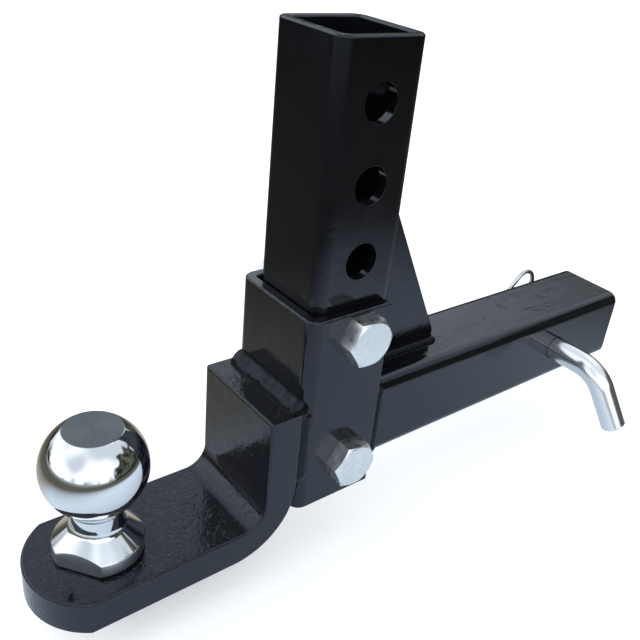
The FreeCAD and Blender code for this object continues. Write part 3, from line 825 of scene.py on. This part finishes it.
turned = [(0.0, top)] + profile_arc(0.0, centre, ball_radius, arc_start, arc_end, ARC_STEPS)
collar_low = turned[-1][1] - COLLAR_HEIGHT
turned += [(COLLAR_RADIUS, collar_low), (NECK_RADIUS, collar_low - (COLLAR_RADIUS - NECK_RADIUS))]
turned += profile_arc(NECK_RADIUS + FOOT_FILLET, fillet_top, FOOT_FILLET, math.pi, math.pi + cone_turn,
                      FILLET_STEPS)
turned += [
    (BASE_RADIUS, BASE_RIM), (BASE_RADIUS, BASE_CHAMFER), (BASE_RADIUS - BASE_CHAMFER, 0.0),
    (STEM_RADIUS, 0.0), (STEM_RADIUS, nut_low + SHOULDER_HIGH), (root, nut_low + SHOULDER_LOW),
    (root, tip + STEM_CHAMFER), (root - STEM_CHAMFER, tip), (0.0, tip)]
print("profile of", len(turned), "points, ball", round(2 * ball_radius / MM, 2), "mm, centre",
      round(centre / MM, 2), "mm above the platform")

# %% [markdown]
# The profile is spun round in even steps. On the real ball two flats are then milled on the foot so that a
# wrench can hold it, and their lower edge is chamfered like the rest of the foot. Each cut is a plane that
# slices the foot's faces only, because it would otherwise reach the ball above or the stem below.

# %% Spin the profile and mill the flats
SPIN_STEPS, SPIN_MERGE = 180, 0.005 * MM
WRENCH_HALF, WRENCH_TURN, FLAT_CHAMFER = 18.3 * MM, math.radians(36), 1.2 * MM
FOOT_LOW_Z = PLATFORM_TOP_Z - 0.1 * MM
BALL_SOFTENING = 0.5 * MM


def mill(work, place, way):
    """Slice off what lies past a plane on the foot, and close the cut."""
    foot_faces = [face for face in work.faces if FOOT_LOW_Z < face.calc_center_median().z < FOOT_TOP_Z]
    foot_edges = {edge for face in foot_faces for edge in face.edges}
    foot_verts = {vert for face in foot_faces for vert in face.verts}
    bmesh.ops.bisect_plane(work, geom=[*foot_verts, *foot_edges, *foot_faces], clear_outer=True,
                           plane_co=place, plane_no=way)
    bmesh.ops.holes_fill(work, edges=[edge for edge in work.edges if edge.is_boundary])


work = bmesh.new()
line = [work.verts.new((BALL_AXIS.x + radius, 0.0, PLATFORM_TOP_Z + height)) for radius, height in turned]
edges = [work.edges.new(pair) for pair in zip(line, line[1:])]
bmesh.ops.spin(work, geom=line + edges, cent=BALL_AXIS, axis=Z, angle=math.tau, steps=SPIN_STEPS)
bmesh.ops.remove_doubles(work, verts=work.verts, dist=SPIN_MERGE)
for turn in (WRENCH_TURN, WRENCH_TURN + math.pi):
    outward = Vector((math.cos(turn), math.sin(turn), 0.0))
    mill(work, BALL_AXIS + outward * WRENCH_HALF, outward)
    low_edge = BALL_AXIS + outward * (WRENCH_HALF - FLAT_CHAMFER) + Z * PLATFORM_TOP_Z
    mill(work, low_edge, (outward - Z).normalized())
bmesh.ops.recalc_face_normals(work, faces=work.faces)
soften(work, BALL_SOFTENING)
ball_mesh = bpy.data.meshes.new("ball")
work.to_mesh(ball_mesh)
work.free()
ball_mesh = weighted("tow_ball_turned", ball_mesh)
show("tow_ball_piece", ball_mesh, ball_chrome, "mount", "tow_ball")
print("ball of", len(ball_mesh.polygons), "faces")

# %% [markdown]
# ## Round bar along a path
# The hitch pin is bright round bar bent by sixty degrees, and the clip is spring wire bent into a hairpin.
# Both are one section swept along one line, so they share a tree. It resamples the path, narrows the section
# at both ends for the chamfer, and stores the place along and round the bar as the attribute grain.

# %% Round bar tree
bar_tree, source, sink = open_group(
    "round_bar", "GeometryNodeTree",
    [("Path", GEOMETRY, None), ("Radius", FLOAT, 5 * MM), ("Sides", INTEGER, 32),
     ("Step", FLOAT, 0.6 * MM), ("Chamfer", FLOAT, 1 * MM), ("Finish", MATERIAL, None)],
    [("Bar", GEOMETRY)])
tree = bar_tree
path, length, to_end = stepped_path(tree, source["Path"], source["Step"])
lost = math_node(tree, "MAXIMUM", minus(tree, source["Chamfer"], to_end), 0.0)
narrowed = minus(tree, 1.0, math_node(tree, "DIVIDE", lost, source["Radius"]))
level = put(tree, "GeometryNodeSetCurveNormal", {"Curve": path}).outputs[0]
path, along = capture(tree, level, "FLOAT", "Along", length)
section = put(tree, "GeometryNodeCurvePrimitiveCircle",
              {"Resolution": source["Sides"], "Radius": source["Radius"]}).outputs["Curve"]
position = put(tree, "GeometryNodeInputPosition").outputs[0]
section, around = capture(tree, section, "VECTOR", "Round", position)
swept = sweep(tree, path, section, narrowed)
spread = put(tree, "ShaderNodeSeparateXYZ", {"Vector": around}).outputs
grain = put(tree, "ShaderNodeCombineXYZ", {"X": along, "Y": spread["X"], "Z": spread["Y"]}).outputs[0]
stored = put(tree, "GeometryNodeStoreNamedAttribute",
             {"Geometry": swept, "Name": "grain", "Value": grain},
             data_type="FLOAT_VECTOR", domain="POINT")
end_tree(tree, stored.outputs[0], source["Finish"], sink["Bar"])

# %% [markdown]
# The pin runs along Y through the shank, bends, and ends in a short handle that hangs a little off the
# vertical.

# %% Bend the pin
PIN_RADIUS = 7.95 * MM
PIN_FAR, PIN_BEND_START = 43.0 * MM, 47.5 * MM
PIN_BEND_RADIUS, PIN_BEND_DEG, PIN_HANDLE = 22.0 * MM, 60.0, 28.0 * MM
PIN_SWING = math.radians(10.0)
PIN_BEND_STEPS = 40

droop = Vector((-math.sin(PIN_SWING), 0.0, -math.cos(PIN_SWING)))
bend_end = math.radians(PIN_BEND_DEG)
bend_centre = Y * PIN_BEND_START + droop * PIN_BEND_RADIUS
handle_way = Y * math.cos(bend_end) + droop * math.sin(bend_end)
pin_line = [-Y * PIN_FAR]
pin_line += arc(bend_centre, -droop, Y, PIN_BEND_RADIUS, 0.0, PIN_BEND_DEG, PIN_BEND_STEPS)
pin_line.append(pin_line[-1] + handle_way * PIN_HANDLE)
pin_mesh = run_tree("bent_pin", bar_tree, pin_line, {
    "Radius": PIN_RADIUS, "Sides": 56, "Step": 0.6 * MM, "Chamfer": 1.8 * MM, "Finish": pin_zinc})
print("pin swept with", len(pin_mesh.polygons), "faces")

# %% [markdown]
# The pin's far end is drilled for the clip, at the clip's tilt. The hole is cut with a Boolean after the
# sweep, because a sweep can't make a hole across itself.

# %% Drill the pin
CLIP_OFFSET, CLIP_RISE = 33.0 * MM, math.radians(43.0)
WIRE_RADIUS, DRILL_RADIUS, DRILL_SIDES = 1.6 * MM, 2.0 * MM, 32
DRILL_DEPTH = 4 * PIN_RADIUS

leg_way = Vector((-math.cos(CLIP_RISE), 0.0, math.sin(CLIP_RISE)))


def drilled(mesh, place, way):
    """The mesh with a round hole cut through it."""
    cutter_mesh = bpy.data.meshes.new("drill")
    work = bmesh.new()
    bmesh.ops.create_cone(work, cap_ends=True, segments=DRILL_SIDES, radius1=DRILL_RADIUS,
                          radius2=DRILL_RADIUS, depth=DRILL_DEPTH)
    turn = way.to_track_quat("Z", "Y").to_matrix().to_4x4()
    bmesh.ops.transform(work, matrix=Matrix.Translation(place) @ turn, verts=work.verts)
    work.to_mesh(cutter_mesh)
    work.free()
    cutter = bpy.data.objects.new("drill", cutter_mesh)
    blank = bpy.data.objects.new("blank", mesh)
    scene.collection.objects.link(cutter)
    scene.collection.objects.link(blank)
    cut = blank.modifiers.new("hole", "BOOLEAN")
    cut.object = cutter
    cut.solver = "EXACT"
    finished = plain_mesh(blank)
    bpy.data.objects.remove(blank)
    bpy.data.objects.remove(cutter)
    return finished


pin_mesh = drilled(pin_mesh, -Y * CLIP_OFFSET, leg_way)
shade(pin_mesh, crisp_deg=35)
show("hitch_pin_piece", pin_mesh, pin_zinc, "pin", "hitch_pin")
print("pin drilled,", len(pin_mesh.polygons), "faces")

# %% [markdown]
# The clip lies in a plane across the pin. One leg is straight and goes through the drilled hole; the wire
# then loops round and comes back as a spring leg, which bends over the pin's outside and turns up at its tip.
# Each stretch is tangent to the next, so the loop's far tangent is worked out from the two circles it joins.

# %% Bend the clip
LOOP_RADIUS, LOOP_REACH, CLIP_TAIL = 10.0 * MM, 33.5 * MM, 18.0 * MM
GRIP_DEG, GRIP_GAP = 40.0, 0.2 * MM
WAIST_RADIUS, CLIP_LIP, LIP_DEG = 4.0 * MM, 4.0 * MM, -135.0
LOOP_STEPS, GRIP_STEPS, WAIST_STEPS = 48, 24, 12

spring_way = Vector((-math.sin(CLIP_RISE), 0.0, -math.cos(CLIP_RISE)))


def on_clip(along, across):
    return leg_way * along + spring_way * across - Y * CLIP_OFFSET


def clip_arc(centre, radius, start, end, count):
    return arc(on_clip(*centre), leg_way, spring_way, radius, start, end, count)


grip = PIN_RADIUS + WIRE_RADIUS + GRIP_GAP
reach = grip + WAIST_RADIUS
waist = (reach * math.cos(math.radians(GRIP_DEG)), reach * math.sin(math.radians(GRIP_DEG)))
loop = (LOOP_REACH, LOOP_RADIUS)
run, rise = loop[0] - waist[0], loop[1] - waist[1]
lean = math.asin((WAIST_RADIUS + LOOP_RADIUS) / math.hypot(run, rise)) + math.atan2(rise, run)
leave = 90 + math.degrees(lean)
clip_line = [on_clip(-CLIP_TAIL, 0.0)]
clip_line += clip_arc(loop, LOOP_RADIUS, -90, leave, LOOP_STEPS)
clip_line += clip_arc(waist, WAIST_RADIUS, leave + 180, GRIP_DEG + 180, WAIST_STEPS)
clip_line += clip_arc((0.0, 0.0), grip, GRIP_DEG, 180 - GRIP_DEG, GRIP_STEPS)[1:]
clip_line += clip_arc((-waist[0], waist[1]), WAIST_RADIUS, -GRIP_DEG, LIP_DEG, WAIST_STEPS)[1:]
lip = math.radians(LIP_DEG)
lip_end = leg_way * (CLIP_LIP * math.sin(lip)) - spring_way * (CLIP_LIP * math.cos(lip))
clip_line.append(clip_line[-1] + lip_end)
clip_mesh = run_tree("hairpin", bar_tree, clip_line, {
    "Radius": WIRE_RADIUS, "Sides": 20, "Step": 0.4 * MM, "Chamfer": 0.3 * MM, "Finish": spring_wire})
shade(clip_mesh, crisp_deg=50)
show("pin_clip_piece", clip_mesh, spring_wire, "pin", "pin_clip")
print("clip of", len(clip_line), "path points,", len(clip_mesh.polygons), "faces")

# %% [markdown]
# ## Thread on the ball's stem
# Under the platform the stem ends below its nut with a few turns of thread. The solid model leaves it plain.
# A thread is a ridge along a helix, so the same tree makes it: four sides give a ridge with a sharp crest,
# and the stem was turned down to the thread's root above.

# %% Cut the thread
THREAD_PITCH, THREAD_IN_NUT = 2.1 * MM, 0.8 * MM
TURN_STEPS = 48

thread_low = BALL_LOW.z + THREAD_DEPTH
thread_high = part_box("ball_nut")[0].z + THREAD_IN_NUT
steps = int((thread_high - thread_low) / THREAD_PITCH * TURN_STEPS)
helix = []
for i in range(steps + 1):
    turn = math.tau * i / TURN_STEPS
    across = Vector((math.cos(turn), math.sin(turn), 0.0)) * root
    helix.append(BALL_AXIS + across + Z * (thread_low + THREAD_PITCH * i / TURN_STEPS))
thread_mesh = run_tree("stem_thread", bar_tree, helix, {
    "Radius": THREAD_DEPTH, "Sides": 4, "Step": 0.8 * MM, "Chamfer": 0.8 * MM, "Finish": zinc_plate})
thread = bpy.data.objects.new("stem_thread_piece", thread_mesh)
scene.collection.objects.link(thread)
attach(thread, "mount")
print("thread of", round(steps / TURN_STEPS, 1), "turns")

# %% [markdown]
# ## Floor
# The part stands on pale paper. On gloss black the reflections are the picture, so reflected rays see another
# floor than the camera does, whose colour holds painted light: a painted pool, bright and cool close to the
# part, warm and dimmer on its far side, a painted dim ground further out, and a painted lit stretch with a
# ragged border far in front. Light Path tells the two kinds of ray apart, which is simpler than two floors.
# From below the floor is clear.

# %% Floor
FLOOR_Z, FLOOR_HALF = cad_box[0][2] - 0.5 * MM, 8.0
POOL_CENTRE, POOL_EDGE, GROUND_EDGE = (0.15, 0.07, FLOOR_Z), (0.22, 0.52), (0.6, 2.6)
WARM_EDGE = (-0.05, -0.13)
LIT_WAY, LIT_EDGE, LIT_BLOTCH = (1.2, 0.55, 0.0), (1.2, 2.0), 0.5
PAINTED_POOL_COOL, PAINTED_POOL_WARM_DIM = (0.70, 0.77, 0.84), (0.47, 0.43, 0.35)
PAINTED_DIM_GROUND, PAINTED_DARK_GROUND, PAINTED_LIT_GROUND = (0.110, 0.100, 0.078), (0.02, 0.018, 0.015), (0.40, 0.41, 0.40)
PAPER, PAPER_ROUGHNESS, PAPER_GLOW = (0.86, 0.86, 0.86), 0.9, 0.35

floor_mesh = bpy.data.meshes.new("floor")
corners = [(x * FLOOR_HALF, y * FLOOR_HALF, FLOOR_Z) for x, y in ((-1, -1), (1, -1), (1, 1), (-1, 1))]
floor_mesh.from_pydata(corners, [], [(0, 1, 2, 3)])
floor = bpy.data.objects.new("floor", floor_mesh)
scene.collection.objects.link(floor)

floor_paper, tree, shader = open_material("floor_paper")
place = object_place(tree)
# Painted light for reflected rays only: the pool's colour fades with distance from its centre, is painted
# dimmer and warm on the far side, and a lit stretch is painted far in front.
away = vector_math(tree, "DISTANCE", place, POOL_CENTRE)["Value"]
warm = map_range(tree, component(tree, place, "Y"), WARM_EDGE, smooth=True)
painted_pool_near = mix_colour(tree, warm, PAINTED_POOL_COOL, PAINTED_POOL_WARM_DIM)
ahead = vector_math(tree, "DOT_PRODUCT", place, LIT_WAY)["Value"]
ragged = plus(tree, ahead, noise(tree, place, LIT_BLOTCH))
painted_far_ground = mix_colour(tree, map_range(tree, ragged, LIT_EDGE, smooth=True), PAINTED_DARK_GROUND, PAINTED_LIT_GROUND)
painted_pool_far = mix_colour(tree, map_range(tree, away, GROUND_EDGE, smooth=True), PAINTED_DIM_GROUND, painted_far_ground)
painted_pool_light = mix_colour(tree, map_range(tree, away, POOL_EDGE, smooth=True), painted_pool_near, painted_pool_far)
seen = put(tree, "ShaderNodeLightPath").outputs["Is Camera Ray"]
tree.links.new(mix_colour(tree, seen, painted_pool_light, PAPER), shader.inputs["Base Color"])
tree.links.new(times(tree, seen, PAPER_GLOW), shader.inputs["Emission Strength"])
shader.inputs["Emission Color"].default_value = (1.0, 1.0, 1.0, 1.0)
shader.inputs["Roughness"].default_value = PAPER_ROUGHNESS
shader.inputs["Specular IOR Level"].default_value = 0.0
from_below = put(tree, "ShaderNodeNewGeometry").outputs["Backfacing"]
clear = put(tree, "ShaderNodeBsdfTransparent").outputs[0]
either = put(tree, "ShaderNodeMixShader", dict(enumerate((from_below, shader.outputs[0], clear))))
tree.links.new(either.outputs[0], tree.nodes["Material Output"].inputs["Surface"])
floor_mesh.materials.append(floor_paper)
print("floor at", round(FLOOR_Z / MM, 1), "mm")

# %% [markdown]
# ## Surroundings
# The chrome and the paint mirror a bright, cloudy sky over a dark, uneven skyline, with a darker place on
# one side. A few noises on the direction make it without an image. The sky starts where the height of a
# direction passes a limit: clouds and the front lift that height, ragged noise breaks it up near the
# horizon, and the dark side pulls it down. The camera itself sees plain white.

# %% Surroundings
FRONT_WAY, FRONT_LIFT = (0.55, 0.83, 0.0), 0.34
CLOUD_BLOTCH, CLOUD_COVER, CLOUD_LIFT = 0.70, (0.30, 0.70), 0.30
RAGGED_BLOTCH, LOW_SKY, RAGGED_SHARE = 0.34, (0.10, 0.42), (1.6, 0.0)
SIDE_WAY, SIDE_RAGGED, SIDE_EDGE, SIDE_DROP = (-0.76, 0.64, 0.10), 0.45, (0.82, 0.94), (0.0, 0.55)
SKY_EDGE = (0.20, 0.62)
MOTTLE_BLOTCH, MOTTLE_NOISE = 0.16, (0.35, 0.70)
DULL_SKY, BRIGHT_SKY = (0.76, 0.84, 0.93), (1.40, 1.50, 1.60)
DARK_LAND, PALE_LAND = (0.015, 0.016, 0.014), (0.150, 0.160, 0.130)
BACKDROP = (0.97, 0.97, 0.97)

world = bpy.data.worlds.new("soft_room")
scene.world = world
world.use_nodes = True
tree = world.node_tree
direction = put(tree, "ShaderNodeTexCoord").outputs["Generated"]
height = component(tree, direction, "Z")
frontal = math_node(tree, "MAXIMUM", vector_math(tree, "DOT_PRODUCT", direction, FRONT_WAY)["Value"], 0.0)
cloudy = map_range(tree, noise(tree, direction, CLOUD_BLOTCH, detail=0.0), CLOUD_COVER, smooth=True)
lifted = plus(tree, height, times(tree, frontal, FRONT_LIFT))
uneven = plus(tree, lifted, times(tree, cloudy, CLOUD_LIFT))
ragged = minus(tree, noise(tree, direction, RAGGED_BLOTCH), MID_NOISE)
jagged = plus(tree, uneven, times(tree, ragged, map_range(tree, height, LOW_SKY, RAGGED_SHARE)))
beside = vector_math(tree, "DOT_PRODUCT", direction, SIDE_WAY)["Value"]
ragged_side = plus(tree, beside, times(tree, ragged, SIDE_RAGGED))
skyline = minus(tree, jagged, map_range(tree, ragged_side, SIDE_EDGE, SIDE_DROP, smooth=True))
above = map_range(tree, skyline, SKY_EDGE, smooth=True)
overhead = mix_colour(tree, cloudy, DULL_SKY, BRIGHT_SKY)
mottle = map_range(tree, noise(tree, direction, MOTTLE_BLOTCH, detail=3.0), MOTTLE_NOISE)
land = mix_colour(tree, mottle, DARK_LAND, PALE_LAND)
seen = put(tree, "ShaderNodeLightPath").outputs["Is Camera Ray"]
room = mix_colour(tree, seen, mix_colour(tree, above, land, overhead), BACKDROP)
tree.links.new(room, tree.nodes["Background"].inputs["Color"])
tree.nodes["Background"].inputs["Strength"].default_value = 1.0
print("world", world.name, "with", len(tree.nodes), "nodes")

# %% [markdown]
# ## Lamps
# Two soft boxes light the part from above, a strong one on the camera's side and a weak one behind. They are
# hidden from reflections, because they would show as squares in the chrome.

# %% Lamps
AIM = Vector((0.16, 0.0, 0.04))
SOFTBOXES = (
    ("key_softbox", (0.75, 0.65, 1.10), (1.3, 1.3), 5.0),
    ("back_softbox", (-0.45, -0.75, 0.95), (1.2, 0.7), 1.5),
)
for name, place, size, power in SOFTBOXES:
    light = bpy.data.lights.new(name, "AREA")
    light.shape = "RECTANGLE"
    light.size, light.size_y = size
    light.energy = power
    lamp = bpy.data.objects.new(name, light)
    lamp.location = place
    lamp.rotation_euler = (AIM - Vector(place)).to_track_quat("-Z", "Y").to_euler()
    lamp.visible_glossy = False
    scene.collection.objects.link(lamp)
    print(name, "of", power, "W")
